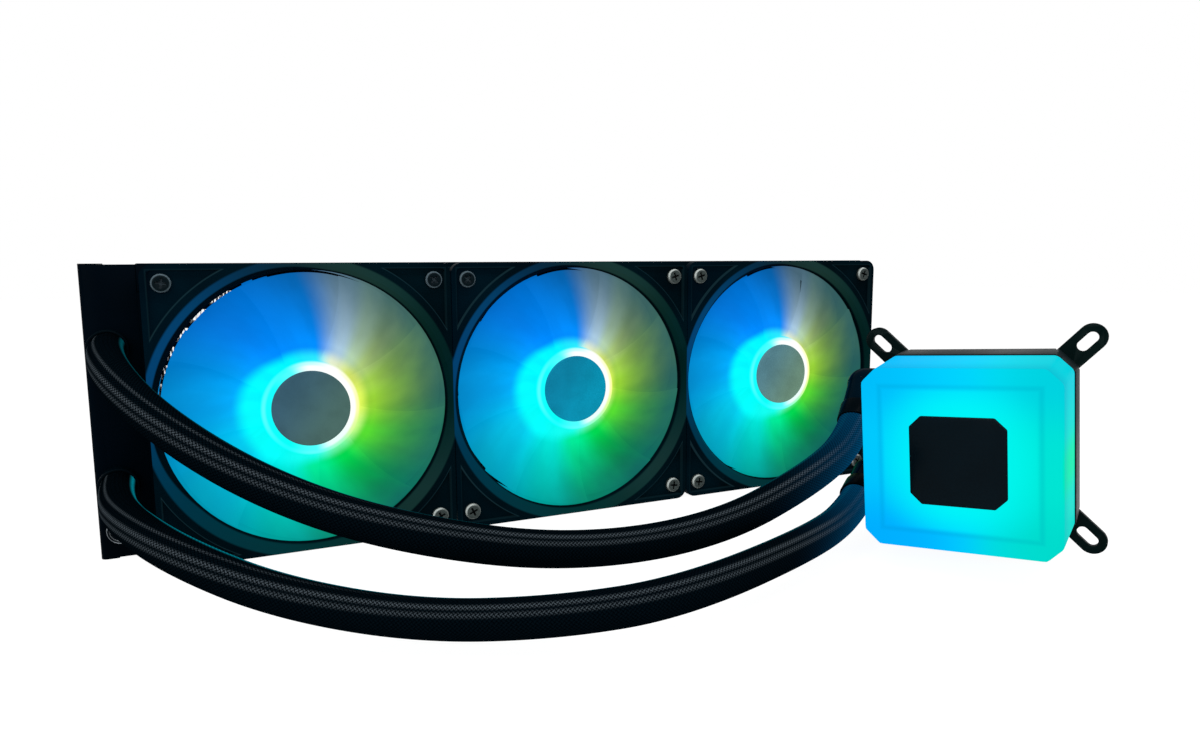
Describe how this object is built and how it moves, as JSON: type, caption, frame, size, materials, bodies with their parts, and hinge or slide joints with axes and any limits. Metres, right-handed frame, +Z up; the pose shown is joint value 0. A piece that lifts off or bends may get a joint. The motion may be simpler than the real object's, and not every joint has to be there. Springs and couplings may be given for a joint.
{
  "type": "liquid cooler",
  "caption": "Closed-loop computer cooler: a long thin radiator with a row of fans, two stiff braided hoses and a lit square pump head with a slotted mounting bracket.",
  "frame": {"origin": "on the floor, under the middle of the radiator, which stands on its long lower rail", "axes": "+X along the radiator away from the hose ports, +Y from the fans to the radiator's bare back, +Z up"},
  "size_m": [0.396, 0.2273, 0.12],
  "materials": {
    "black_paint": "satin black powder coat",
    "core_metal": "dull aluminium",
    "fin_metal": "bright rolled foil",
    "plug_metal": "polished",
    "seal_rubber": "matt",
    "frame_plastic": "fine matt texture",
    "frosted_rotor": "frosted, lit from the hub",
    "cap_plastic": "satin grey",
    "pin_steel": "ground",
    "brass": "turned",
    "magnet": "sintered, dark",
    "coil_stack": "laminated, wound with enamelled wire",
    "board": "solder mask",
    "steel_screw": "plated",
    "copper": "bare copper, milled",
    "black_plastic": "moulded",
    "pump_plastic": "moulded",
    "diffuser": "milky",
    "light_cap": "frosted and lit",
    "centre_plate": "near-black, bare",
    "bracket_paint": "satin black",
    "gloss_black": "gloss",
    "hose_braid": "woven nylon sleeve",
    "collar_rubber": "heat-shrunk"
  },
  "bodies": {
    "root": {"bracket": "bracket_paint", "bracket_screws": "steel_screw", "centre_plate": "centre_plate", "chamber_cover": "pump_plastic", "cold_plate": "copper", "cold_plate_screws": "steel_screw", "core_fins": "fin_metal", "core_tubes": "core_metal", "elbow_lower": "gloss_black", "elbow_upper": "gloss_black", "fan_1_bearing": "brass", "fan_1_board": "board", "fan_1_frame": "frame_plastic", "fan_1_screws": "steel_screw", "fan_1_stator": "coil_stack", "fan_2_bearing": "brass", "fan_2_board": "board", "fan_2_frame": "frame_plastic", "fan_2_screws": "steel_screw", "fan_2_stator": "coil_stack", "fan_3_bearing": "brass", "fan_3_board": "board", "fan_3_frame": "frame_plastic", "fan_3_screws": "steel_screw", "fan_3_stator": "coil_stack", "fill_plug": "plug_metal", "fill_plug_seal": "seal_rubber", "gasket": "seal_rubber", "header_left": "core_metal", "header_right": "core_metal", "hose_lower": "hose_braid", "hose_upper": "hose_braid", "housing": "black_plastic", "impeller_pin": "pin_steel", "light_box": "diffuser", "light_cap": "light_cap", "pump_base": "black_plastic", "pump_board": "board", "pump_collars": "collar_rubber", "pump_stator": "coil_stack", "rail_bottom": "black_paint", "rail_top": "black_paint", "tank_collars": "collar_rubber", "tank_left": "black_paint", "tank_right": "black_paint"},
    "rotor_1": {"fan_1_rotor": "frosted_rotor", "fan_1_hub_cap": "cap_plastic", "fan_1_shaft": "pin_steel", "fan_1_magnet": "magnet"},
    "rotor_2": {"fan_2_rotor": "frosted_rotor", "fan_2_hub_cap": "cap_plastic", "fan_2_shaft": "pin_steel", "fan_2_magnet": "magnet"},
    "rotor_3": {"fan_3_rotor": "frosted_rotor", "fan_3_hub_cap": "cap_plastic", "fan_3_shaft": "pin_steel", "fan_3_magnet": "magnet"},
    "impeller_body": {"impeller": "pump_plastic", "impeller_magnet": "magnet"}
  },
  "joints": [
    {"name": "fan_1_spin", "type": "hinge", "parent": "root", "child": "rotor_1", "pos_m": [-0.12, -0.026, 0.06], "axis": [0, -1, 0], "continuous": true},
    {"name": "fan_2_spin", "type": "hinge", "parent": "root", "child": "rotor_2", "pos_m": [0, -0.026, 0.06], "axis": [0, -1, 0], "continuous": true},
    {"name": "fan_3_spin", "type": "hinge", "parent": "root", "child": "rotor_3", "pos_m": [0.12, -0.026, 0.06], "axis": [0, -1, 0], "continuous": true},
    {"name": "impeller_spin", "type": "hinge", "parent": "root", "child": "impeller_body", "pos_m": [0.12385, -0.16109, 0.04781], "axis": [-0.8496, -0.5268, -0.0262], "continuous": true}
  ]
}
